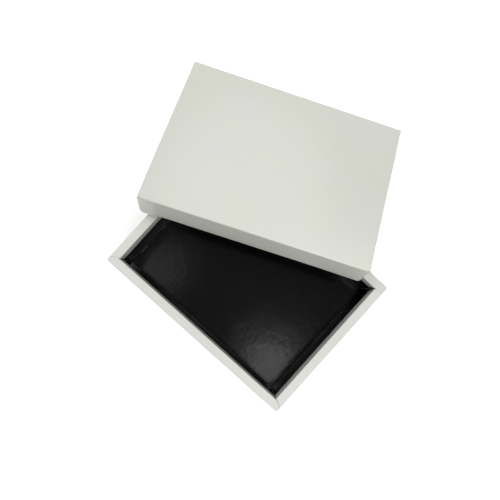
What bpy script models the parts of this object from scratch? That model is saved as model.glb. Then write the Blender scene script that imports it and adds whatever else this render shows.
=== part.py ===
"""Sushi box of folded white board: a base with wide hollow sides, a black inner tray, and a loose lid.

The base stands at the origin with its long side along X. The front is -Y. The lid has been taken off
and leans on the base: its back skirt stands on the table and its top rests on the base's back left corner.
"""
import math

import bmesh
import bpy
from mathutils import Euler, Vector

# Board, its folds and the room left between neighbouring pieces
BOARD = 0.0006
FOLD_RADIUS = 0.0010
FOLD_STEPS = 3
CLEARANCE = 0.0003
RELIEF = 0.0005

# Base: outer size, rim along the top of each side and lip folded down inside it
BASE_LENGTH = 0.228
BASE_WIDTH = 0.1685
BASE_HEIGHT = 0.050
BOTTOM_BOARD = 0.0008
RIM_WIDTH = 0.0092
LIP_HEIGHT = 0.0165
LIP_END = 0.0004
LIP_TAPER_FRONT = 0.0006
LIP_TAPER_BACK = 0.0022
FLANGE_WIDTH = 0.014
FLANGE_MITRE = 0.003
CORNER_RADIUS = 0.0024
CORNER_STEPS = 4

# Rim corner: the long side laps the short one, cut from the inner corner to the seam foot
SEAM_FOOT = 0.0036
SEAM_BULGE = 0.0015
SEAM_GAP = 0.0004
SEAM_STEPS = 5

# Side walls: short wall's end and the glue tab behind it
WALL_END = 0.0016
TAB_LENGTH = 0.015
TAB_TAPER = 0.004

# Inner tray: its end and long walls stand in from the rim at the floor and lean out to pass behind the lips
TRAY_BOARD = 0.0006
TRAY_END_INSET = 0.0020
TRAY_LONG_INSET = 0.0013
TRAY_LIP_GAP = 0.00045
TRAY_CORNER = 0.0020
TRAY_CREASE = 0.0012
TRAY_STEPS = 3

# Lid: it slips over the base, with skirts whose lower corners are rounded
LID_CLEARANCE = 0.0005
LID_SKIRT = 0.0265
LID_CORNER = 0.0018
LID_CORNER_STEPS = 3
LID_SKIRT_CORNER = 0.0040
LID_SKIRT_STEPS = 4
LID_TAB_LENGTH = 0.018
LID_TAB_DROP = 0.0060
LID_TAB_TAPER = 0.005

# How the lid leans: its turn, and where the base's back left corner comes under it
LID_TURN = math.radians(24.45)
LID_REACH = 0.0641
LID_SHIFT = 0.0627

WHITE_BOARD = (0.78, 0.78, 0.74)
WHITE_ROUGHNESS = 0.45
BLACK_FILM = (0.012, 0.012, 0.013)
BLACK_ROUGHNESS = 0.25
SHARP_EDGE = math.radians(40)

QUARTER = math.pi / 2
UP = Vector((0, 0, 1))
DOWN = Vector((0, 0, -1))
AHEAD = Vector((0, 1, 0))
BACK = Vector((0, -1, 0))
RIGHT = Vector((1, 0, 0))
LEFT = Vector((-1, 0, 0))


def clear_scene():
    for old in list(bpy.data.objects):
        bpy.data.objects.remove(old, do_unlink=True)


def make_material(name, colour, roughness):
    material = bpy.data.materials.new(name)
    material.use_nodes = True
    shader = material.node_tree.nodes["Principled BSDF"]
    shader.inputs["Base Color"].default_value = (*colour, 1.0)
    shader.inputs["Roughness"].default_value = roughness
    shader.inputs["Metallic"].default_value = 0.0
    return material


def panel(bm, outline, height):
    """A flat panel facing up; returns its vertices in the order of the outline."""
    verts = [bm.verts.new((x, y, height)) for x, y in outline]
    bm.faces.new(verts)
    return verts


def extend(bm, pair, step, inset=(0, 0)):
    """Carry the sheet straight on from a free edge; inset draws in its first and its last corner."""
    edge = bm.edges.get(pair)
    made = bmesh.ops.extrude_edge_only(bm, edges=[edge])["geom"]
    fresh = [item for item in made if isinstance(item, bmesh.types.BMVert)]
    source = {v: next(e.other_vert(v) for e in v.link_edges if e.other_vert(v) in pair) for v in fresh}
    fresh.sort(key=lambda v: pair.index(source[v]))
    run = (pair[1].co - pair[0].co).normalized()
    bmesh.ops.translate(bm, verts=fresh, vec=step)
    fresh[0].co += run * inset[0]
    fresh[1].co -= run * inset[1]
    return tuple(fresh)


def fold(bm, pair, travel, towards, radius):
    """Bend the sheet a quarter turn at a free edge, from its direction of travel towards another."""
    edge = bm.edges.get(pair)
    run = pair[1].co - pair[0].co
    centre = pair[0].co + towards * radius
    made = bmesh.ops.spin(bm, geom=[edge], cent=centre, axis=travel.cross(towards), angle=QUARTER,
                          steps=FOLD_STEPS, use_merge=False, use_duplicate=False)
    last = next(item for item in made["geom_last"] if isinstance(item, bmesh.types.BMEdge))
    return tuple(sorted(last.verts, key=lambda v: v.co.dot(run)))


def arc(centre, radius, start, steps):
    """Points of a quarter circle, anticlockwise from its start angle."""
    turns = [start + QUARTER * step / steps for step in range(steps + 1)]
    return [(centre[0] + radius * math.cos(a), centre[1] + radius * math.sin(a)) for a in turns]


def seam(share):
    """The rim's corner cut: distance along the short side from the tip, and in from its outer face."""
    along = RIM_WIDTH + (SEAM_FOOT - RIM_WIDTH) * share + 4 * SEAM_BULGE * share * (1 - share)
    return along, RIM_WIDTH * (1 - share)


def mirrored(half):
    """A whole outline from its right half, which runs from the front edge to the back edge."""
    return half + [(-x, y) for x, y in reversed(half)]


def shoulder_and_skirt(bm, pair, out, drop):
    """Fold a skirt down from the top's edge: a short shoulder below the fold, then the skirt itself."""
    shoulder = extend(bm, fold(bm, pair, out, DOWN, FOLD_RADIUS), DOWN * CLEARANCE)
    return shoulder, extend(bm, shoulder, DOWN * (drop - FOLD_RADIUS - CLEARANCE))


def finish_sheet(bm, name, material, thickness, level):
    """Face the sheet up at its panel's level, give it the board's thickness and make it an object."""
    top = min(bm.faces, key=lambda face: abs(face.calc_center_median().z - level))
    bmesh.ops.recalc_face_normals(bm, faces=bm.faces[:])
    if top.normal.z < 0:
        bmesh.ops.reverse_faces(bm, faces=bm.faces[:])
    mesh = bpy.data.meshes.new(name)
    bm.to_mesh(mesh)
    bm.free()
    mesh.shade_smooth()
    mesh.set_sharp_from_angle(angle=SHARP_EDGE)
    mesh.materials.append(material)
    piece = bpy.data.objects.new(name, mesh)
    bpy.context.scene.collection.objects.link(piece)
    solidify = piece.modifiers.new("board", "SOLIDIFY")
    solidify.thickness = thickness
    solidify.offset = -1
    solidify.use_even_offset = True
    return piece


def make_bottom_board(base):
    """The board that the four sides are glued down to, the full size of the base."""
    half_x, half_y = BASE_LENGTH / 2, BASE_WIDTH / 2
    in_x, in_y = half_x - CORNER_RADIUS, half_y - CORNER_RADIUS
    bm = bmesh.new()
    half = arc((in_x, -in_y), CORNER_RADIUS, -QUARTER, CORNER_STEPS)
    half += arc((in_x, in_y), CORNER_RADIUS, 0, CORNER_STEPS)
    panel(bm, mirrored(half), BOTTOM_BOARD)
    white = make_material("bottom_board_white", WHITE_BOARD, WHITE_ROUGHNESS)
    board = finish_sheet(bm, "bottom_board", white, BOTTOM_BOARD, BOTTOM_BOARD)
    board.parent = base


def rim_outline(half_run, depth, laps):
    """Flat top of a side, between its folds. A long side laps the corner, a short one stops at the seam."""
    outer, inner = FOLD_RADIUS - depth, RIM_WIDTH - FOLD_RADIUS - depth
    shares = [step / SEAM_STEPS for step in range(SEAM_STEPS + 1)]
    lip_x = half_run - RIM_WIDTH - LIP_END
    if laps:
        turn_x = half_run - CORNER_RADIUS
        half = [(turn_x - RELIEF, outer)]
        half += arc((turn_x, CORNER_RADIUS - depth), CORNER_RADIUS, -QUARTER, CORNER_STEPS)
        half += [(half_run - v, u - depth) for u, v in map(seam, reversed(shares))]
    else:
        fold_share = FOLD_RADIUS / RIM_WIDTH
        cut = [fold_share + (1 - 2 * fold_share) * share for share in reversed(shares[1:])]
        half = [(half_run - u - SEAM_GAP, v - depth) for u, v in map(seam, cut)]
    return mirrored(half + [(lip_x, inner)])


def make_side(name, half_run, depth, turn, laps, lip_tapers, base):
    """One folded side: rim, outer wall, flange under the tray, and lip. Long sides carry glue tabs."""
    bm = bmesh.new()
    outline = rim_outline(half_run, depth, laps)
    rim = panel(bm, outline, BASE_HEIGHT)
    front = (rim[-1], rim[0])
    middle = len(outline) // 2
    inside = (rim[middle], rim[middle - 1])

    edge = fold(bm, inside, AHEAD, DOWN, FOLD_RADIUS)
    extend(bm, edge, DOWN * (LIP_HEIGHT - FOLD_RADIUS), lip_tapers)

    wall_foot = BOTTOM_BOARD + CLEARANCE + FOLD_RADIUS
    shoulder, foot = shoulder_and_skirt(bm, front, BACK, BASE_HEIGHT - wall_foot - CLEARANCE)
    tab_fold = CORNER_RADIUS - BOARD - CLEARANCE
    end_x = half_run - CORNER_RADIUS if laps else half_run - WALL_END
    widen = end_x - shoulder[1].co.x
    for side, out in ((0, LEFT), (1, RIGHT)):
        end = extend(bm, (foot[side], shoulder[side]), out * widen)
        if laps:
            end = fold(bm, end, out, AHEAD, tab_fold)
            extend(bm, end, AHEAD * TAB_LENGTH, (TAB_TAPER, TAB_TAPER))
    edge = extend(bm, foot, DOWN * CLEARANCE)
    edge = fold(bm, edge, DOWN, AHEAD, FOLD_RADIUS)
    mitre = FLANGE_WIDTH + FLANGE_MITRE
    extend(bm, edge, AHEAD * (FLANGE_WIDTH - FOLD_RADIUS), (mitre, mitre))

    bmesh.ops.rotate(bm, verts=bm.verts[:], cent=(0, 0, 0), matrix=Euler((0, 0, turn)).to_matrix())
    white = make_material(name + "_white", WHITE_BOARD, WHITE_ROUGHNESS)
    side = finish_sheet(bm, name, white, BOARD, BASE_HEIGHT)
    side.parent = base


def make_tray(base):
    """The black tray: its walls stand behind the lips, under the rims, and lean in to a flat floor."""
    floor = BOTTOM_BOARD + CLEARANCE + BOARD + CLEARANCE + TRAY_BOARD
    top = BASE_HEIGHT - BOARD - CLEARANCE
    inner_x, inner_y = BASE_LENGTH / 2 - RIM_WIDTH, BASE_WIDTH / 2 - RIM_WIDTH
    bm = bmesh.new()
    floor_x, floor_y = inner_x - TRAY_END_INSET, inner_y - TRAY_LONG_INSET
    lean = (top - floor) / (BASE_HEIGHT - LIP_HEIGHT - floor)
    behind_lip = BOARD + TRAY_LIP_GAP
    top_x = floor_x + (behind_lip + TRAY_END_INSET) * lean
    top_y = floor_y + (behind_lip + TRAY_LONG_INSET) * lean
    corners = panel(bm, mirrored([(floor_x, -floor_y), (floor_x, floor_y)]), floor)
    made = bmesh.ops.extrude_edge_only(bm, edges=bm.edges[:])["geom"]
    brim = [item for item in made if isinstance(item, bmesh.types.BMVert)]
    for vert in brim:
        vert.co = (math.copysign(top_x, vert.co.x), math.copysign(top_y, vert.co.y), top)
    uprights = [e for e in bm.edges if sum(v in corners for v in e.verts) == 1]
    bmesh.ops.bevel(bm, geom=uprights, offset=TRAY_CORNER, offset_type="OFFSET", affect="EDGES",
                    segments=TRAY_STEPS, profile=0.5, material=-1)
    creases = [e for e in bm.edges if all(abs(v.co.z - floor) < CLEARANCE for v in e.verts)]
    bmesh.ops.bevel(bm, geom=creases, offset=TRAY_CREASE, offset_type="OFFSET", affect="EDGES",
                    segments=TRAY_STEPS, profile=0.5, material=-1)
    black = make_material("inner_tray_black", BLACK_FILM, BLACK_ROUGHNESS)
    tray = finish_sheet(bm, "inner_tray", black, TRAY_BOARD, floor)
    tray.parent = base


def lid_size():
    """Outer length and width of the lid, which slips over the base."""
    growth = 2 * (LID_CLEARANCE + BOARD)
    return BASE_LENGTH + growth, BASE_WIDTH + growth


def make_lid():
    """The lid: a top panel with four skirts, whose end skirts are held by tabs glued behind the long ones."""
    length, width = lid_size()
    half_x, half_y = length / 2, width / 2
    fold_x, fold_y = half_x - FOLD_RADIUS, half_y - FOLD_RADIUS
    cut = LID_CORNER + RELIEF
    quarter = [(fold_x, half_y - cut), (half_x, half_y - LID_CORNER)]
    quarter += arc((half_x - LID_CORNER, half_y - LID_CORNER), LID_CORNER, 0, LID_CORNER_STEPS)[1:]
    quarter += [(half_x - cut, fold_y)]
    half = [(x, -y) for x, y in reversed(quarter)] + quarter
    bm = bmesh.new()
    top = panel(bm, mirrored(half), 0)
    size = len(quarter)
    tab_fold = LID_CORNER - BOARD - CLEARANCE
    long_edges = (((top[-1], top[0]), BACK), ((top[2 * size - 1], top[2 * size]), AHEAD))
    short_edges = (((top[size - 1], top[size]), RIGHT), ((top[3 * size - 1], top[3 * size]), LEFT))
    rounded = []
    for pair, out in long_edges:
        shoulder, foot = shoulder_and_skirt(bm, pair, out, LID_SKIRT)
        run = (foot[1].co - foot[0].co).normalized()
        for side, way in ((0, -run), (1, run)):
            end = extend(bm, (foot[side], shoulder[side]), way * cut)
            rounded.append(end[0])
            bmesh.ops.dissolve_edges(bm, edges=[bm.edges.get((foot[side], shoulder[side]))], use_verts=True)
    for pair, out in short_edges:
        shoulder, foot = shoulder_and_skirt(bm, pair, out, LID_SKIRT - LID_TAB_DROP)
        hem = extend(bm, foot, DOWN * LID_TAB_DROP)
        run = (foot[1].co - foot[0].co).normalized()
        for side, way in ((0, -run), (1, run)):
            end = extend(bm, (foot[side], shoulder[side]), way * RELIEF)
            end = fold(bm, end, way, -out, tab_fold)
            extend(bm, end, -out * LID_TAB_LENGTH, (LID_TAB_TAPER, LID_TAB_TAPER))
            rounded.append(hem[side])
    bmesh.ops.bevel(bm, geom=rounded, offset=LID_SKIRT_CORNER, offset_type="OFFSET", affect="VERTICES",
                    segments=LID_SKIRT_STEPS, profile=0.5, material=-1)
    white = make_material("lid_white", WHITE_BOARD, WHITE_ROUGHNESS)
    lid = finish_sheet(bm, "lid", white, BOARD, 0)
    lid.rotation_mode = "XYZ"
    lid.location, lid.rotation_euler = leaning_place(length, width)


def leaning_place(length, width):
    """Where the lid comes to rest: back skirt on the table, top on the base's back left corner."""
    along = Vector((math.cos(LID_TURN), math.sin(LID_TURN), 0))
    behind = Vector((-math.sin(LID_TURN), math.cos(LID_TURN), 0))
    corner = Vector((-BASE_LENGTH / 2, BASE_WIDTH / 2, 0))
    centre = corner + Vector((CORNER_RADIUS, -CORNER_RADIUS, 0))
    touch = centre + behind * CORNER_RADIUS
    setback = LID_REACH - (touch - corner).dot(behind)
    room = LID_SKIRT - BOARD - CLEARANCE
    on_corner = math.acos(room / math.hypot(BASE_HEIGHT, setback)) - math.atan2(setback, BASE_HEIGHT)
    crossing = LID_REACH + math.tan(LID_TURN) * (LID_SHIFT + length / 2 - BOARD)
    on_rim = math.atan((BASE_HEIGHT + CLEARANCE) / crossing)
    over_rims = math.asin((BASE_HEIGHT + CLEARANCE) / width)
    tilt = max(on_corner, on_rim, over_rims)
    foot = corner + behind * LID_REACH + along * LID_SHIFT
    down_slope = behind * math.cos(tilt) - UP * math.sin(tilt)
    normal = behind * math.sin(tilt) + UP * math.cos(tilt)
    place = foot - down_slope * (width / 2) + normal * LID_SKIRT
    return place, Euler((-tilt, 0, LID_TURN))


def main():
    clear_scene()
    base = bpy.data.objects.new("base", None)
    bpy.context.scene.collection.objects.link(base)
    half_x, half_y = BASE_LENGTH / 2, BASE_WIDTH / 2
    near, far = LIP_TAPER_FRONT, LIP_TAPER_BACK
    make_bottom_board(base)
    make_side("front_side", half_x, half_y, 0, True, (near, near), base)
    make_side("right_side", half_y, half_x, QUARTER, False, (near, far), base)
    make_side("back_side", half_x, half_y, 2 * QUARTER, True, (far, far), base)
    make_side("left_side", half_y, half_x, 3 * QUARTER, False, (far, near), base)
    make_tray(base)
    make_lid()


main()
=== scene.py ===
import math

import bmesh
import bpy
from mathutils import Euler, Matrix, Vector, noise


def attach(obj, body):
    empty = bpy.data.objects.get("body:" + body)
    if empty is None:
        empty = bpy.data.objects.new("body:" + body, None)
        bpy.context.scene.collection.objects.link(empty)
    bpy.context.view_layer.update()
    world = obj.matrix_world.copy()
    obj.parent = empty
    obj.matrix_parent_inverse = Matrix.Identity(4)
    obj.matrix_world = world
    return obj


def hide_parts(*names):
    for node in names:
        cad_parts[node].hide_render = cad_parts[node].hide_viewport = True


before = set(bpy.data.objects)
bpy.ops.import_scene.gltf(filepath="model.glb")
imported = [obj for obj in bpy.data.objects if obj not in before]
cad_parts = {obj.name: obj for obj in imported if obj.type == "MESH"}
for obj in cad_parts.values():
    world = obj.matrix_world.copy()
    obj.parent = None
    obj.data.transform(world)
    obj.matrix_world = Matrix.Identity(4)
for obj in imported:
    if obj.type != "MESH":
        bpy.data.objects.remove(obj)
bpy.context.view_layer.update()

# Bottom board: one plain die-cut sheet of white board that the sides and the tray are glued down to.
# It is uncoated, so its paper fibres show. The CAD solid has its true shape and is only given its finish.
NOISE_SPAN = (0.35, 0.65)
FIRST_COLOUR = 6
SECOND_COLOUR = 7
MIXED_COLOUR = 2
RAW_ROUGHNESS = 0.85
RAW_SHINE = 0.25
FIBRE_SCALE = 900
FIBRE_STRETCH = (1, 0.35, 1)
FIBRE_SHARE = 0.25
FIBRE_SHADE = 0.86
FIBRE_DEPTH = 0.00002
CLOUD_SCALE = 45
CLOUD_PLACE = (0.4, 0.1, 0)
BOTTOM_PALE = (0.70, 0.70, 0.655)
BOTTOM_DARK = (0.665, 0.66, 0.61)


def new_material(name, roughness):
    """An empty finish, evenly rough until a map is linked; returns it with its node tree and its shader."""
    material = bpy.data.materials.new(name)
    material.use_nodes = True
    tree = material.node_tree
    shader = tree.nodes["Principled BSDF"]
    shader.inputs["Roughness"].default_value = roughness
    return material, tree, shader


def mottle(tree, scale, detail, place=(0, 0, 0), stretch=(1, 1, 1)):
    """Noise in the piece's own space; scale is in features to the metre."""
    nodes, links = tree.nodes, tree.links
    coords = nodes.new("ShaderNodeTexCoord")
    mapping = nodes.new("ShaderNodeMapping")
    mapping.inputs["Location"].default_value = place
    mapping.inputs["Scale"].default_value = stretch
    texture = nodes.new("ShaderNodeTexNoise")
    texture.inputs["Scale"].default_value = scale
    texture.inputs["Detail"].default_value = detail
    links.new(coords.outputs["Object"], mapping.inputs["Vector"])
    links.new(mapping.outputs["Vector"], texture.inputs["Vector"])
    return texture.outputs["Fac"]


def spread(tree, value, ends, over=NOISE_SPAN):
    """The value carried from the span it runs over to two new ends, without going past either."""
    node = tree.nodes.new("ShaderNodeMapRange")
    node.inputs["From Min"].default_value = over[0]
    node.inputs["From Max"].default_value = over[1]
    node.inputs["To Min"].default_value = ends[0]
    node.inputs["To Max"].default_value = ends[1]
    tree.links.new(value, node.inputs["Value"])
    return node.outputs["Result"]


def blended(tree, share, first, second):
    """A colour between two others; each is a colour or another node's colour.

    The node's colour sockets go by number, because its sockets of other kinds have the same names.
    """
    node = tree.nodes.new("ShaderNodeMix")
    node.data_type = "RGBA"
    tree.links.new(share, node.inputs["Factor"])
    for socket, colour in ((node.inputs[FIRST_COLOUR], first), (node.inputs[SECOND_COLOUR], second)):
        if isinstance(colour, tuple):
            socket.default_value = (*colour, 1)
        else:
            tree.links.new(colour, socket)
    return node.outputs[MIXED_COLOUR]


def roughen(tree, shader, heights):
    """Bumps on the surface, one upon another; each is a height map and its depth in metres."""
    normal = None
    for height, depth in heights:
        bump = tree.nodes.new("ShaderNodeBump")
        bump.inputs["Strength"].default_value = 1.0
        bump.inputs["Distance"].default_value = depth
        tree.links.new(height, bump.inputs["Height"])
        if normal:
            tree.links.new(normal, bump.inputs["Normal"])
        normal = bump.outputs["Normal"]
    tree.links.new(normal, shader.inputs["Normal"])


def raw_board(name, pale, dark, fibre_scale=FIBRE_SCALE):
    """Uncoated board: matt, with short fibres lying mostly one way."""
    material, tree, shader = new_material(name, RAW_ROUGHNESS)
    shader.inputs["Specular IOR Level"].default_value = RAW_SHINE
    fibres = mottle(tree, fibre_scale, detail=3, stretch=FIBRE_STRETCH)
    clouds = mottle(tree, CLOUD_SCALE, detail=2, place=CLOUD_PLACE)
    tinted = blended(tree, spread(tree, clouds, (0, 1)), pale, dark)
    shaded = tuple(FIBRE_SHADE * part for part in dark)
    speckled = blended(tree, spread(tree, fibres, (0, FIBRE_SHARE)), tinted, shaded)
    tree.links.new(speckled, shader.inputs["Base Color"])
    roughen(tree, shader, [(fibres, FIBRE_DEPTH)])
    return material


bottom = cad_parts["bottom_board"]
bottom.data.materials.clear()
bottom.data.materials.append(raw_board("raw white board", BOTTOM_PALE, BOTTOM_DARK))

# The four sides: each is one strip of coated white board, scored and folded into a hollow wall.
# It runs up as the outer wall, in as the flat rim and down as the lip, and its foot turns in under the tray.
# The long strips lap the short ones at the corners and are glued there by tabs.
BOARD = 0.0006
FOLD_RADIUS = 0.0010
FOLD_STEPS = 8
SHARP_FOLD = math.radians(40)
CLEARANCE = 0.0003
BASE_LENGTH = 0.228
BASE_WIDTH = 0.1685
BASE_HEIGHT = 0.050
BOTTOM_BOARD = 0.0008
RIM_WIDTH = 0.0092
LIP_HEIGHT = 0.0165
LIP_END = 0.0004
LIP_TAPER_FRONT = 0.0006
LIP_TAPER_BACK = 0.0022
LIP_WAVE = 0.00012
LIP_WAVE_SCALE = 30
LIP_WAVE_CHANGE = 40
LEFT_LIP_LEAN = -0.0005
FLANGE_WIDTH = 0.014
FLANGE_MITRE = 0.003
CORNER_RADIUS = 0.0024
CORNER_STEPS = 10
RELIEF = 0.0001
SEAM_FOOT = 0.0036
SEAM_BULGE = 0.0015
SEAM_GAPS = {"front right": 0.00034, "back right": 0.00010, "back left": 0.00015, "front left": 0.00020}
SEAM_STEPS = 14
WALL_END = 0.0016
WALL_DISH = 0.00035
WALL_BAYS = 24
WALL_CUTS = (0.2, 0.4, 0.6, 0.8)
TAB_LENGTH = 0.015
TAB_TAPER = 0.004

SIDE_TONE = (0.762, 0.764, 0.736)
SIDE_WARM = (0.765, 0.760, 0.702)
COAT_ROUGHNESS = 0.3
COAT_CLOUD_SCALE = 22
COAT_SATIN_SCALE = 240
COAT_SATIN = (0.175, 0.205)
COAT_WAVE_SCALE = 60
COAT_WAVE_DEPTH = 0.00003
COAT_GRAIN_SCALE = 1500
COAT_GRAIN_DEPTH = 0.000002
# grey painted along the board's folds as their shade
FOLD_PAINTED_SHADE = (0.66, 0.65, 0.64)
FOLD_SHADE_SHARE = 0.8
FOLD_SHADE_OVER = (0.1, 0.9)
BACK_PALE = (0.71, 0.705, 0.66)
BACK_DARK = (0.66, 0.65, 0.60)
EDGE_PALE = (0.73, 0.725, 0.67)
EDGE_DARK = (0.62, 0.61, 0.55)
EDGE_FIBRE_SCALE = 1600

QUARTER = math.pi / 2
UP = Vector((0, 0, 1))
DOWN = Vector((0, 0, -1))
AHEAD = Vector((0, 1, 0))
BACK = Vector((0, -1, 0))
RIGHT = Vector((1, 0, 0))
LEFT = Vector((-1, 0, 0))


def panel(bm, outline, height):
    """A flat panel facing up; returns its vertices in the order of the outline."""
    verts = [bm.verts.new((x, y, height)) for x, y in outline]
    bm.faces.new(verts)
    return verts


def drawn_out(bm, edges):
    """New faces that start at these edges, still without width; returns their free vertices."""
    made = bmesh.ops.extrude_edge_only(bm, edges=edges)["geom"]
    return [item for item in made if isinstance(item, bmesh.types.BMVert)]


def extend(bm, pair, step, inset=(0, 0)):
    """Carry the sheet straight on from a free edge; inset draws in its first and its last corner."""
    fresh = drawn_out(bm, [bm.edges.get(pair)])
    source = {v: next(e.other_vert(v) for e in v.link_edges if e.other_vert(v) in pair) for v in fresh}
    fresh.sort(key=lambda v: pair.index(source[v]))
    run = (pair[1].co - pair[0].co).normalized()
    bmesh.ops.translate(bm, verts=fresh, vec=step)
    fresh[0].co += run * inset[0]
    fresh[1].co -= run * inset[1]
    return tuple(fresh)


def fold(bm, pair, travel, towards, radius):
    """Bend the sheet a quarter turn at a free edge, from its direction of travel towards another."""
    edge = bm.edges.get(pair)
    run = pair[1].co - pair[0].co
    centre = pair[0].co + towards * radius
    made = bmesh.ops.spin(bm, geom=[edge], cent=centre, axis=travel.cross(towards), angle=QUARTER,
                          steps=FOLD_STEPS, use_merge=False, use_duplicate=False)
    last = next(item for item in made["geom_last"] if isinstance(item, bmesh.types.BMEdge))
    return tuple(sorted(last.verts, key=lambda v: v.co.dot(run)))


def arc(centre, radius, start, steps):
    """Points of a quarter circle, anticlockwise from its start angle."""
    turns = [start + QUARTER * step / steps for step in range(steps + 1)]
    return [(centre[0] + radius * math.cos(a), centre[1] + radius * math.sin(a)) for a in turns]


def mirrored(half):
    """A whole outline from its right half, which runs from the front edge to the back edge."""
    return half + [(-x, y) for x, y in reversed(half)]


def shoulder_and_skirt(bm, pair, out, drop):
    """Fold the sheet down from an edge of its flat top: a short shoulder, then the wall or skirt itself."""
    shoulder = extend(bm, fold(bm, pair, out, DOWN, FOLD_RADIUS), DOWN * CLEARANCE)
    return shoulder, extend(bm, shoulder, DOWN * (drop - FOLD_RADIUS - CLEARANCE))


def cut_across(bm, axis, places):
    """Part the whole sheet across at these places along an axis, so that it can bow there."""
    for place in places:
        everything = bm.verts[:] + bm.edges[:] + bm.faces[:]
        bmesh.ops.bisect_plane(bm, geom=everything, plane_co=axis * place, plane_no=axis)


def evenly(span, bays):
    """Places that part a span about zero into equal bays, its ends left out."""
    return [span * (step / bays - 0.5) for step in range(1, bays)]


def face_up(bm, level):
    """Turn the sheet's face up at its main panel, and mark on its points how hard it is creased."""
    top = min(bm.faces, key=lambda face: abs(face.calc_center_median().z - level) - face.calc_area())
    bmesh.ops.recalc_face_normals(bm, faces=bm.faces[:])
    if top.normal.z < 0:
        bmesh.ops.reverse_faces(bm, faces=bm.faces[:])
    bm.normal_update()
    crease = bm.verts.layers.float.new("crease")
    for vert in bm.verts:
        straightest = max(abs(turn) for turn in vert.normal)
        vert[crease] = min(1, (1 - straightest) / (1 - math.sqrt(0.5)))


def placed(name, data):
    """A new object in the scene, which holds a mesh, a lamp or a camera."""
    thing = bpy.data.objects.new(name, data)
    bpy.context.scene.collection.objects.link(thing)
    return thing


def smooth_mesh(bm, name):
    """The finished shape as a mesh with smooth faces."""
    mesh = bpy.data.meshes.new(name)
    bm.to_mesh(mesh)
    bm.free()
    mesh.shade_smooth()
    return mesh


def finish_sheet(bm, name, node, body, board, finishes):
    """Give the sheet its board's thickness: a coated face, an uncoated back and a cut edge."""
    mesh = smooth_mesh(bm, name)
    mesh.set_sharp_from_angle(angle=SHARP_FOLD)
    for finish in finishes:
        mesh.materials.append(finish)
    piece = placed(name, mesh)
    solidify = piece.modifiers.new("board", "SOLIDIFY")
    solidify.thickness = board
    solidify.offset = -1
    solidify.use_even_offset = True
    solidify.material_offset = 1
    solidify.material_offset_rim = 2
    shading = piece.modifiers.new("flat panels", "WEIGHTED_NORMAL")
    shading.keep_sharp = True
    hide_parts(node)
    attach(piece, body)


def marked(tree, mark):
    """A value that is marked on the sheet's points under this name."""
    node = tree.nodes.new("ShaderNodeAttribute")
    node.attribute_name = mark
    return node.outputs["Fac"]


def coated_board(name, tone, warm, seed):
    """The board's outer face: a satin coat over white board, a little cloudy, with painted shade greying it
    along its folds.
    """
    material, tree, shader = new_material(name, COAT_ROUGHNESS)
    clouds = mottle(tree, COAT_CLOUD_SCALE, detail=3, place=(seed, 0, 0))
    satin = mottle(tree, COAT_SATIN_SCALE, detail=4, place=(0, seed, 0))
    cloudy = blended(tree, spread(tree, clouds, (0, 1)), tone, warm)
    # painted shade: the coat is greyed along its folds, where they turn away from the light
    painted_fold_shade = spread(tree, marked(tree, "crease"), (0, FOLD_SHADE_SHARE), FOLD_SHADE_OVER)
    tree.links.new(blended(tree, painted_fold_shade, cloudy, FOLD_PAINTED_SHADE), shader.inputs["Base Color"])
    tree.links.new(spread(tree, satin, COAT_SATIN), shader.inputs["Roughness"])
    grain = mottle(tree, COAT_GRAIN_SCALE, detail=2)
    waves = mottle(tree, COAT_WAVE_SCALE, detail=1, place=(0, 0, seed))
    roughen(tree, shader, [(waves, COAT_WAVE_DEPTH), (grain, COAT_GRAIN_DEPTH)])
    return material


uncoated_back = raw_board("uncoated back", BACK_PALE, BACK_DARK)
cut_edge = raw_board("cut edge", EDGE_PALE, EDGE_DARK, EDGE_FIBRE_SCALE)


def seam(share):
    """The rim's corner cut: distance along the short side from the tip, and in from its outer face."""
    along = RIM_WIDTH + (SEAM_FOOT - RIM_WIDTH) * share + 4 * SEAM_BULGE * share * (1 - share)
    return along, RIM_WIDTH * (1 - share)


def rim_outline(half_run, depth, laps, gaps):
    """Flat top of a side, between its folds. A long side laps the corner, a short one stops at the seam."""
    outer, inner = FOLD_RADIUS - depth, RIM_WIDTH - FOLD_RADIUS - depth
    shares = [step / SEAM_STEPS for step in range(SEAM_STEPS + 1)]
    lip_x = half_run - RIM_WIDTH - LIP_END
    if laps:
        turn_x = half_run - CORNER_RADIUS
        half = [(turn_x - RELIEF, outer)]
        half += arc((turn_x, CORNER_RADIUS - depth), CORNER_RADIUS, -QUARTER, CORNER_STEPS)
        half += [(half_run - v, u - depth) for u, v in map(seam, reversed(shares)) if u > CORNER_RADIUS]
    else:
        fold_share = FOLD_RADIUS / RIM_WIDTH
        cut = [fold_share + (1 - 2 * fold_share) * share for share in reversed(shares[1:])]
        half = [(half_run - u, v - depth) for u, v in map(seam, cut)]
    whole = mirrored(half + [(lip_x, inner)])
    ends = [gaps[0 if x < 0 else 1] if abs(x) != lip_x else 0 for x, y in whole]
    return [(x - math.copysign(gap, x), y) for (x, y), gap in zip(whole, ends)]


def wear_side(bm, half_run, depth, lip_lean):
    """From use the outer wall is a little dished, and the lip a little wavy or leaning."""
    reach = half_run - 2 * RIM_WIDTH
    cut_across(bm, RIGHT, evenly(2 * reach, WALL_BAYS))
    cut_across(bm, UP, [BASE_HEIGHT * share for share in WALL_CUTS])
    for vert in bm.verts:
        x, y, z = vert.co
        along = max(0, 1 - (x / reach) ** 2)
        if y < FOLD_RADIUS - depth:
            vert.co.y += WALL_DISH * along * math.sin(math.pi * z / BASE_HEIGHT)
        hang = (BASE_HEIGHT - FOLD_RADIUS - z) / LIP_HEIGHT
        if abs(y + depth - RIM_WIDTH) < BOARD and 0 < hang < 1:
            place = Vector((x * LIP_WAVE_SCALE, half_run * LIP_WAVE_CHANGE, 0))
            wave = LIP_WAVE * (1 + noise.noise(place))
            vert.co.y += along * hang * (wave + lip_lean)


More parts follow.
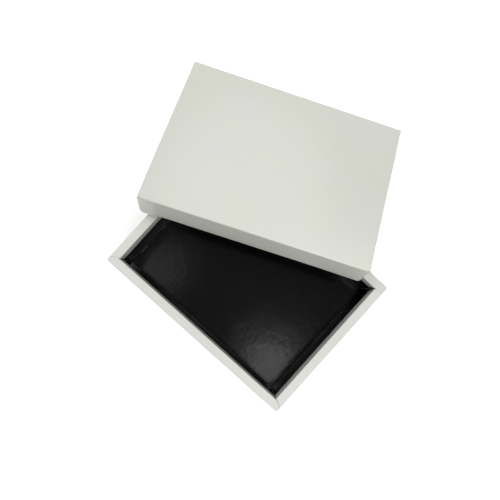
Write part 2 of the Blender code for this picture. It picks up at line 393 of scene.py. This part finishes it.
def folded_side(name, half_run, depth, turn, lip_tapers, gaps=None, lip_lean=0):
    """One side: rim, outer wall, flange under the tray, and lip. Long sides carry glue tabs."""
    bm = bmesh.new()
    laps = gaps is None
    outline = rim_outline(half_run, depth, laps, gaps or (0, 0))
    rim = panel(bm, outline, BASE_HEIGHT)
    front = (rim[-1], rim[0])
    middle = len(outline) // 2
    inside = (rim[middle], rim[middle - 1])

    edge = fold(bm, inside, AHEAD, DOWN, FOLD_RADIUS)
    extend(bm, edge, DOWN * (LIP_HEIGHT - FOLD_RADIUS), lip_tapers)

    wall_foot = BOTTOM_BOARD + CLEARANCE + FOLD_RADIUS
    shoulder, foot = shoulder_and_skirt(bm, front, BACK, BASE_HEIGHT - wall_foot - CLEARANCE)
    tab_fold = CORNER_RADIUS - BOARD - CLEARANCE
    end_x = half_run - CORNER_RADIUS if laps else half_run - WALL_END
    widen = end_x - shoulder[1].co.x
    for side, out in ((0, LEFT), (1, RIGHT)):
        end = extend(bm, (foot[side], shoulder[side]), out * widen)
        if laps:
            end = fold(bm, end, out, AHEAD, tab_fold)
            extend(bm, end, AHEAD * TAB_LENGTH, (TAB_TAPER, TAB_TAPER))
    edge = extend(bm, foot, DOWN * CLEARANCE)
    edge = fold(bm, edge, DOWN, AHEAD, FOLD_RADIUS)
    mitre = FLANGE_WIDTH + FLANGE_MITRE
    extend(bm, edge, AHEAD * (FLANGE_WIDTH - FOLD_RADIUS), (mitre, mitre))
    face_up(bm, BASE_HEIGHT)
    wear_side(bm, half_run, depth, lip_lean)

    bmesh.ops.rotate(bm, verts=bm.verts[:], cent=(0, 0, 0), matrix=Euler((0, 0, turn)).to_matrix())
    face = coated_board(name + " coat", SIDE_TONE, SIDE_WARM, turn)
    finish_sheet(bm, "folded_" + name, name, "base", BOARD, (face, uncoated_back, cut_edge))


half_length, half_width = BASE_LENGTH / 2, BASE_WIDTH / 2
near, far = LIP_TAPER_FRONT, LIP_TAPER_BACK
right_gaps = (SEAM_GAPS["front right"], SEAM_GAPS["back right"])
left_gaps = (SEAM_GAPS["back left"], SEAM_GAPS["front left"])
folded_side("front_side", half_length, half_width, 0, (near, near))
folded_side("right_side", half_width, half_length, QUARTER, (near, far), right_gaps)
folded_side("back_side", half_length, half_width, 2 * QUARTER, (far, far))
folded_side("left_side", half_width, half_length, 3 * QUARTER, (far, near), left_gaps, LEFT_LIP_LEAN)

# Inner tray: one sheet of board laminated with glossy black film, folded up into a floor and four walls.
# The walls lean outwards to stand behind the lips. The film is rubbed pale along the folds. Up the corners it
# is paler still, partly rubbed film and partly a painted highlight. The floor isn't quite flat.
TRAY_BOARD = 0.0006
TRAY_END_INSET = 0.0020
TRAY_LONG_INSET = 0.0013
TRAY_LIP_GAP = 0.00045
TRAY_CORNER = 0.0009
TRAY_CREASE = 0.0004
TRAY_STEPS = 6
TRAY_BAYS_ALONG = 90
TRAY_BAYS_ACROSS = 64
TRAY_CUTS = (0.15, 0.35, 0.6, 0.8)
ROUND = 0.5

TRAY_WAVE = 0.00022
TRAY_WAVE_SCALE = 22
TRAY_WAVE_CHANGE = 3.1
TRAY_WAVE_FADE = 4
EDGE_LIFTS = {"left": (0.0012, 0.018), "right": (0.00022, 0.009), "front": (0.00012, 0.009)}
CORNER_LIFT = 0.0005
CORNER_REACH = 0.016
CREASE_BAND = 2 * TRAY_CREASE
CRUMPLES_OUT = {"front": 0.00025, "right": 0.00018, "left": 0.00008}
CRUMPLE_SCALE = 170
CRUMPLE_DRIFT = 10
CRUMPLE_REACH = 0.006

# pale streaks up the corners: partly rubbed film, partly a painted highlight, paler towards the foot
CORNER_RUBS_AND_HIGHLIGHTS = {(1, 1): 1.0, (1, -1): 0.5, (-1, -1): 0.35, (-1, 1): 0.35}
WALL_SLOPE = 0.5
CORNER_SPAN = 0.7
HIGHLIGHT_AT_FOOT = 0.3
HIGHLIGHT_FULL_AT = 0.6
SCUFFS = ((-0.0585, -0.0488, 0.5), (-0.0235, -0.0185, 0.3))
SCUFF_SLOPES = (0.2, 0.97)

FILM_ROUGHNESS = 0.3
FILM_COOL = (0.0012, 0.0012, 0.0021)
FILM_WARM = (0.0020, 0.0019, 0.0022)
FILM_TINT_SCALE = 30
FILM_RUBBED = (0.05, 0.05, 0.048)
# pale colour for the scuffs and for the corners' painted highlight
FILM_SCUFF_AND_HIGHLIGHT = (0.30, 0.30, 0.28)
RUB_SHARE = 0.2
RUB_OVER = (0.55, 0.95)
RUB_SCALE = 90
RUB_FLECKS_OVER = (0.52, 0.68)
SMEAR_SCALE = 120
SMEAR_ROUGHNESS = (0.15, 0.17)
FOLD_ROUGHNESS = (0.15, 0.8)
FOLD_SHINE = (0.5, 0.08)
FOLD_OVER = (0.02, 0.3)
DENT_SCALE = 45
DENT_DEPTH = 0.00010
RIPPLE_SCALE = 250
RIPPLE_STRETCH = (1, 0.5, 1)
RIPPLE_DEPTH = 0.00010
PATCH_SCALE = 14
PATCH_PLACE = (0.3, 0.1, 0)
PATCH_WEAKEST = 0.15
PATCH_OVER = (0.42, 0.58)


def combined(tree, operation, first, second):
    """Two values brought together by one operation."""
    node = tree.nodes.new("ShaderNodeMath")
    node.operation = operation
    tree.links.new(first, node.inputs[0])
    tree.links.new(second, node.inputs[1])
    return node.outputs["Value"]


def laminated_film(name):
    """Black film: deep and glossy, slightly dimpled by the board below, and duller where it is folded."""
    material, tree, shader = new_material(name, FILM_ROUGHNESS)
    tint = mottle(tree, FILM_TINT_SCALE, detail=2)
    black = blended(tree, spread(tree, tint, (0, 1)), FILM_COOL, FILM_WARM)
    creased = marked(tree, "crease")
    rub = spread(tree, creased, (0, RUB_SHARE), RUB_OVER)
    flecks = spread(tree, mottle(tree, RUB_SCALE, detail=3), (0, 1), RUB_FLECKS_OVER)
    rubbed = blended(tree, combined(tree, "MULTIPLY", rub, flecks), black, FILM_RUBBED)
    # painted highlight up the corners, mixed with rubbed film, and the two scuffs
    scuffed_and_lit = blended(tree, marked(tree, "scuff_and_highlight"), rubbed, FILM_SCUFF_AND_HIGHLIGHT)
    tree.links.new(scuffed_and_lit, shader.inputs["Base Color"])

    smears = spread(tree, mottle(tree, SMEAR_SCALE, detail=3), SMEAR_ROUGHNESS)
    folds = spread(tree, creased, FOLD_ROUGHNESS, FOLD_OVER)
    tree.links.new(combined(tree, "MAXIMUM", smears, folds), shader.inputs["Roughness"])
    tree.links.new(spread(tree, creased, FOLD_SHINE, FOLD_OVER), shader.inputs["Specular IOR Level"])

    dents = mottle(tree, DENT_SCALE, detail=2)
    ripples = mottle(tree, RIPPLE_SCALE, detail=3, stretch=RIPPLE_STRETCH)
    patches = mottle(tree, PATCH_SCALE, detail=1, place=PATCH_PLACE)
    patchy = combined(tree, "MULTIPLY", ripples, spread(tree, patches, (PATCH_WEAKEST, 1), PATCH_OVER))
    roughen(tree, shader, [(dents, DENT_DEPTH), (patchy, RIPPLE_DEPTH)])
    return material


def round_off(bm, items, radius, steps, affect="EDGES"):
    """Round these edges or corners off."""
    bmesh.ops.bevel(bm, geom=items, offset=radius, offset_type="OFFSET", affect=affect,
                    segments=steps, profile=ROUND, material=-1)


def mark_scuffs_and_highlights(bm, top):
    """Mark how pale the film is made: up the four corners a painted highlight with rubbing, paler towards the
    foot, and two scuffs on the left fold.
    """
    scuff_and_highlight = bm.verts.layers.float.new("scuff_and_highlight")
    bm.normal_update()
    for vert in bm.verts:
        x, y, z = vert.co
        nx, ny, nz = vert.normal
        if nz < WALL_SLOPE:
            corner = max(0, 1 - abs(abs(nx) - abs(ny)) / CORNER_SPAN)
            higher = HIGHLIGHT_AT_FOOT + (1 - HIGHLIGHT_AT_FOOT) * min(1, z / (HIGHLIGHT_FULL_AT * top))
            vert[scuff_and_highlight] = corner * higher * CORNER_RUBS_AND_HIGHLIGHTS[math.copysign(1, x), math.copysign(1, y)]
        for start, end, depth in SCUFFS:
            if x < 0 and start < y < end and SCUFF_SLOPES[0] < nz < SCUFF_SLOPES[1]:
                vert[scuff_and_highlight] = depth


def wear_tray(bm, floor, floor_x, floor_y):
    """From use the floor is a little wavy and lifted at its edges, and the folds are crumpled."""
    for vert in bm.verts:
        x, y, z = vert.co
        inward = max(0, 1 - (x / floor_x) ** TRAY_WAVE_FADE) * max(0, 1 - (y / floor_y) ** TRAY_WAVE_FADE)
        place = Vector((x * TRAY_WAVE_SCALE, y * TRAY_WAVE_SCALE, TRAY_WAVE_CHANGE))
        vert.co.z += TRAY_WAVE * inward * (1 + noise.noise(place))
        ends = {"left": x + floor_x, "right": floor_x - x, "front": y + floor_y}
        if z < floor + CREASE_BAND:
            for side, (lift, reach) in EDGE_LIFTS.items():
                vert.co.z += lift * max(0, 1 - max(0, ends[side]) / reach) ** 2
            away = math.hypot(min(ends["left"], ends["right"]), ends["front"])
            vert.co.z += CORNER_LIFT * max(0, 1 - away / CORNER_REACH) ** 2
        low = max(0, 1 - (z - floor) / CRUMPLE_REACH)
        if low and abs(x) > floor_x - CREASE_BAND:
            out = CRUMPLES_OUT["right" if x > 0 else "left"]
            vert.co.x += out * low * noise.noise(Vector((x * CRUMPLE_DRIFT, y * CRUMPLE_SCALE, 0)))
        if low and abs(y) > floor_y - CREASE_BAND:
            out = CRUMPLES_OUT["front"]
            vert.co.y += out * low * noise.noise(Vector((x * CRUMPLE_SCALE, y * CRUMPLE_DRIFT, 0)))


def black_tray():
    """Floor first, its walls drawn up and out from it, then the folds between them rounded."""
    floor = BOTTOM_BOARD + CLEARANCE + BOARD + CLEARANCE + TRAY_BOARD
    top = BASE_HEIGHT - BOARD - CLEARANCE
    inner_x, inner_y = BASE_LENGTH / 2 - RIM_WIDTH, BASE_WIDTH / 2 - RIM_WIDTH
    floor_x, floor_y = inner_x - TRAY_END_INSET, inner_y - TRAY_LONG_INSET
    lean = (top - floor) / (BASE_HEIGHT - LIP_HEIGHT - floor)
    behind_lip = BOARD + TRAY_LIP_GAP
    top_x = floor_x + (behind_lip + TRAY_END_INSET) * lean
    top_y = floor_y + (behind_lip + TRAY_LONG_INSET) * lean
    bm = bmesh.new()
    corners = panel(bm, mirrored([(floor_x, -floor_y), (floor_x, floor_y)]), floor)
    for vert in drawn_out(bm, bm.edges[:]):
        vert.co = (math.copysign(top_x, vert.co.x), math.copysign(top_y, vert.co.y), top)
    uprights = [e for e in bm.edges if sum(v in corners for v in e.verts) == 1]
    round_off(bm, uprights, TRAY_CORNER, TRAY_STEPS)
    creases = [e for e in bm.edges if all(abs(v.co.z - floor) < CLEARANCE for v in e.verts)]
    round_off(bm, creases, TRAY_CREASE, TRAY_STEPS)
    face_up(bm, floor)
    cut_across(bm, RIGHT, evenly(2 * floor_x, TRAY_BAYS_ALONG))
    cut_across(bm, AHEAD, evenly(2 * floor_y, TRAY_BAYS_ACROSS))
    cut_across(bm, UP, [top * share for share in TRAY_CUTS])
    mark_scuffs_and_highlights(bm, top)
    wear_tray(bm, floor, floor_x, floor_y)
    finishes = (laminated_film("black film"), uncoated_back, cut_edge)
    finish_sheet(bm, "folded_tray", "inner_tray", "base", TRAY_BOARD, finishes)


black_tray()

# Lid: one sheet of the same white board, its coat painted a little darker as shade, scored and folded down
# into four skirts, its tabs glued inside.
# It has been lifted off: its far skirt stands on the table and its top leans on the base's back left corner.
# From use its top is a little crowned. At the near corners its end skirts are pushed in, the near one out.
LID_CLEARANCE = 0.0005
LID_SKIRT = 0.0265
LID_CORNER = 0.0020
LID_CORNER_STEPS = 8
LID_SKIRT_CORNER = 0.0022
LID_LOOSE_CORNER = 0.0042
LID_SKIRT_STEPS = 8
LID_TAB_LENGTH = 0.018
LID_TAB_DROP = 0.0060
LID_TAB_TAPER = 0.005
LID_BAYS_ALONG = 24
LID_BAYS_ACROSS = 18
LID_SKIRT_CUTS = (0.25, 0.5, 0.75)
LID_CROWN = 0.0006
NEAR_LEFT_PUSH = Vector((0.0019, -0.0013, 0))
NEAR_LEFT_REACH = 0.030
NEAR_RIGHT_PUSH = Vector((-0.0024, -0.0006, 0))
NEAR_RIGHT_REACH = 0.050
LID_TURN = math.radians(24.45)
LID_REACH = 0.0641
LID_SHIFT = 0.0627
# the lid's coat is the sides' board painted a little darker, as shade on its tilted top
LID_SHADED_TONE = (0.739, 0.742, 0.703)
LID_SHADED_WARM = (0.742, 0.744, 0.660)
LID_CLOUD_PLACE = 5.0


def leaning_place(length, width):
    """Where the lid comes to rest: back skirt on the table, top on the base's back left corner."""
    along = Vector((math.cos(LID_TURN), math.sin(LID_TURN), 0))
    behind = Vector((-math.sin(LID_TURN), math.cos(LID_TURN), 0))
    corner = Vector((-BASE_LENGTH / 2, BASE_WIDTH / 2, 0))
    over_rims = math.asin((BASE_HEIGHT + CLEARANCE) / width)
    crossing = LID_REACH + math.tan(LID_TURN) * (LID_SHIFT + length / 2 - BOARD)
    on_rim = math.atan((BASE_HEIGHT + CLEARANCE) / crossing)
    tilt = max(on_rim, over_rims)
    foot = corner + behind * LID_REACH + along * LID_SHIFT
    down_slope = behind * math.cos(tilt) - UP * math.sin(tilt)
    normal = behind * math.sin(tilt) + UP * math.cos(tilt)
    place = foot - down_slope * (width / 2) + normal * LID_SKIRT
    return Matrix.Translation(place) @ Euler((-tilt, 0, LID_TURN)).to_matrix().to_4x4()


def push_corner(bm, corner, push, reach):
    """Bend the skirts at one corner: their lower edge moves by the push, and less further from the corner."""
    for vert in bm.verts:
        away = (vert.co.xy - Vector(corner)).length / reach
        if away < 1:
            share = -vert.co.z / LID_SKIRT * (1 - away * away) ** 2
            vert.co += push * share


def long_skirt(bm, pair, out, cut):
    """A long skirt, which goes on round both corners; returns its two lower corners."""
    shoulder, foot = shoulder_and_skirt(bm, pair, out, LID_SKIRT)
    run = (foot[1].co - foot[0].co).normalized()
    lower = []
    for side, way in ((0, -run), (1, run)):
        end = extend(bm, (foot[side], shoulder[side]), way * cut)
        lower.append(end[0])
        joint = bm.edges.get((foot[side], shoulder[side]))
        bmesh.ops.dissolve_edges(bm, edges=[joint], use_verts=True)
    return lower


def end_skirt(bm, pair, out):
    """An end skirt, its glue tabs folded in behind the long skirts; returns its two lower corners."""
    shoulder, foot = shoulder_and_skirt(bm, pair, out, LID_SKIRT - LID_TAB_DROP)
    hem = extend(bm, foot, DOWN * LID_TAB_DROP)
    run = (foot[1].co - foot[0].co).normalized()
    for side, way in ((0, -run), (1, run)):
        end = extend(bm, (foot[side], shoulder[side]), way * RELIEF)
        end = fold(bm, end, way, -out, LID_CORNER - BOARD - CLEARANCE)
        extend(bm, end, -out * LID_TAB_LENGTH, (LID_TAB_TAPER, LID_TAB_TAPER))
    return list(hem)


def folded_lid():
    """The top, its long skirts drawn on round the corners, then its end skirts with their tabs."""
    growth = 2 * (LID_CLEARANCE + BOARD)
    length, width = BASE_LENGTH + growth, BASE_WIDTH + growth
    half_x, half_y = length / 2, width / 2
    fold_x, fold_y = half_x - FOLD_RADIUS, half_y - FOLD_RADIUS
    cut = LID_CORNER + RELIEF
    quarter = [(fold_x, half_y - cut), (half_x, half_y - LID_CORNER)]
    quarter += arc((half_x - LID_CORNER, half_y - LID_CORNER), LID_CORNER, 0, LID_CORNER_STEPS)[1:]
    quarter += [(half_x - cut, fold_y)]
    half = [(x, -y) for x, y in reversed(quarter)] + quarter
    bm = bmesh.new()
    top = panel(bm, mirrored(half), 0)
    size = len(quarter)
    rounded = long_skirt(bm, (top[-1], top[0]), BACK, cut)
    rounded += long_skirt(bm, (top[2 * size - 1], top[2 * size]), AHEAD, cut)
    rounded += end_skirt(bm, (top[size - 1], top[size]), RIGHT)
    rounded += end_skirt(bm, (top[3 * size - 1], top[3 * size]), LEFT)
    loose = [v for v in rounded if v.co.x < 0 and v.co.y < 0]
    tight = [v for v in rounded if v not in loose]
    round_off(bm, loose, LID_LOOSE_CORNER, LID_SKIRT_STEPS, "VERTICES")
    round_off(bm, tight, LID_SKIRT_CORNER, LID_SKIRT_STEPS, "VERTICES")
    face_up(bm, 0)
    cut_across(bm, RIGHT, evenly(2 * (fold_x - LID_CORNER), LID_BAYS_ALONG))
    cut_across(bm, AHEAD, evenly(2 * (fold_y - LID_CORNER), LID_BAYS_ACROSS))
    cut_across(bm, UP, [-LID_SKIRT * share for share in LID_SKIRT_CUTS])
    for vert in bm.verts:
        x, y, z = vert.co
        if z > -FOLD_RADIUS / FOLD_STEPS:
            vert.co.z += LID_CROWN * max(0, 1 - (x / fold_x) ** 2) * max(0, 1 - (y / fold_y) ** 2)
    push_corner(bm, (-half_x, -half_y), NEAR_LEFT_PUSH, NEAR_LEFT_REACH)
    push_corner(bm, (half_x, -half_y), NEAR_RIGHT_PUSH, NEAR_RIGHT_REACH)
    bmesh.ops.transform(bm, verts=bm.verts[:], matrix=leaning_place(length, width))
    # painted shade: the lid's coat is darker than the sides'
    face = coated_board("shaded lid coat", LID_SHADED_TONE, LID_SHADED_WARM, LID_CLOUD_PLACE)
    finish_sheet(bm, "folded_lid", "lid", "lid", BOARD, (face, uncoated_back, cut_edge))


folded_lid()

# Floor: a plain pale sweep, a round floor under the box that turns up into a wall far off all round it.
# The camera sees it white, and it keeps the box's soft shadow.
FLOOR_RADIUS = 4.0
FLOOR_STEPS = 96
FLOOR_DROP = 0.0002
SWEEP_HEIGHT = 2.2
SWEEP_RADIUS = 1.2
SWEEP_STEPS = 12
FLOOR_ROUGHNESS = 0.9
FLOOR_PALE = (0.8, 0.8, 0.8, 1)
FLOOR_GLOW = 0.50
WHITE = (1, 1, 1, 1)

bm = bmesh.new()
bmesh.ops.create_circle(bm, cap_ends=True, radius=FLOOR_RADIUS, segments=FLOOR_STEPS)
bmesh.ops.translate(bm, verts=bm.verts[:], vec=DOWN * FLOOR_DROP)
rim = bm.edges[:]
bmesh.ops.translate(bm, verts=drawn_out(bm, rim), vec=UP * SWEEP_HEIGHT)
round_off(bm, rim, SWEEP_RADIUS, SWEEP_STEPS)
floor_mesh = smooth_mesh(bm, "floor")
floor = placed("floor", floor_mesh)
floor_paint, tree, shader = new_material("pale floor", FLOOR_ROUGHNESS)
shader.inputs["Base Color"].default_value = FLOOR_PALE
shader.inputs["Specular IOR Level"].default_value = 0
shader.inputs["Emission Color"].default_value = WHITE
path = tree.nodes.new("ShaderNodeLightPath")
seen = path.outputs["Is Camera Ray"]
for ray in ("Is Glossy Ray", "Is Transmission Ray"):
    seen = combined(tree, "MAXIMUM", seen, path.outputs[ray])
tree.links.new(spread(tree, seen, (0, FLOOR_GLOW), over=(0, 1)), shader.inputs["Emission Strength"])
floor_mesh.materials.append(floor_paint)

# Light: a dim room, and soft round lamps above the box at two heights, all facing it.
# The small ones nearest overhead glint in the tray's film, right and left.
ROOM_LIGHT = 0.132
HIGH = 1.3
LOW = 0.65

world = bpy.data.worlds.new("room")
bpy.context.scene.world = world
world.use_nodes = True
room = world.node_tree.nodes["Background"]
room.inputs["Color"].default_value = WHITE
room.inputs["Strength"].default_value = ROOM_LIGHT


def soft_lamp(name, height, slant, heading, size, watts):
    """A round soft lamp, its slant from straight above and its heading in degrees, that faces the box."""
    lamp = bpy.data.lights.new(name, "AREA")
    lamp.shape = "DISK"
    lamp.size = size
    lamp.energy = watts
    holder = placed(name, lamp)
    out = height * math.tan(math.radians(slant))
    turn = math.radians(heading)
    holder.location = (out * math.cos(turn), out * math.sin(turn), height)
    holder.rotation_euler = holder.location.to_track_quat("Z", "Y").to_euler()


for name, height, slant, heading, size, watts in (
    ("near back left lamp", LOW, 50, 120, 0.5, 0.93),
    ("left lamp", HIGH, 38, 180, 0.7, 6.1),
    ("wide back lamp", HIGH, 38, 90, 0.7, 2.3),
    ("back lamp", HIGH, 28, 90, 0.5, 3.3),
    ("low front left lamp", HIGH, 50, 225, 1.0, 3.2),
    ("wide front right lamp", HIGH, 38, 315, 0.7, 8.75),
    ("near right lamp", LOW, 38, 0, 0.35, 0.45),
    ("wide right glint", HIGH, 15, 332, 0.4, 0.115),
    ("right glint", HIGH, 14, 333, 0.2, 0.180),
    ("left glint", HIGH, 14, 210, 0.2, 0.061),
):
    soft_lamp(name, height, slant, heading, size, watts)

# Camera: about half a metre above the table and almost straight down, as the photograph was taken.
SENSOR_WIDTH = 36
LENS = 34.572
LENS_SHIFT = (-0.01222, 0.08462)
EYE = (0.00484, -0.02010, 0.53114)
TILT = math.radians(-1.366)
ROLL = math.radians(1.573)
HEADING = math.radians(-42.159)

camera = bpy.data.cameras.new("camera")
camera.sensor_width = SENSOR_WIDTH
camera.lens = LENS
camera.shift_x, camera.shift_y = LENS_SHIFT
viewer = placed("camera", camera)
bpy.context.scene.camera = viewer
aim = Euler((TILT, ROLL, HEADING)).to_matrix().transposed()
viewer.matrix_world = Matrix.Translation(EYE) @ aim.to_4x4()
bpy.context.scene.view_settings.view_transform = "Standard"
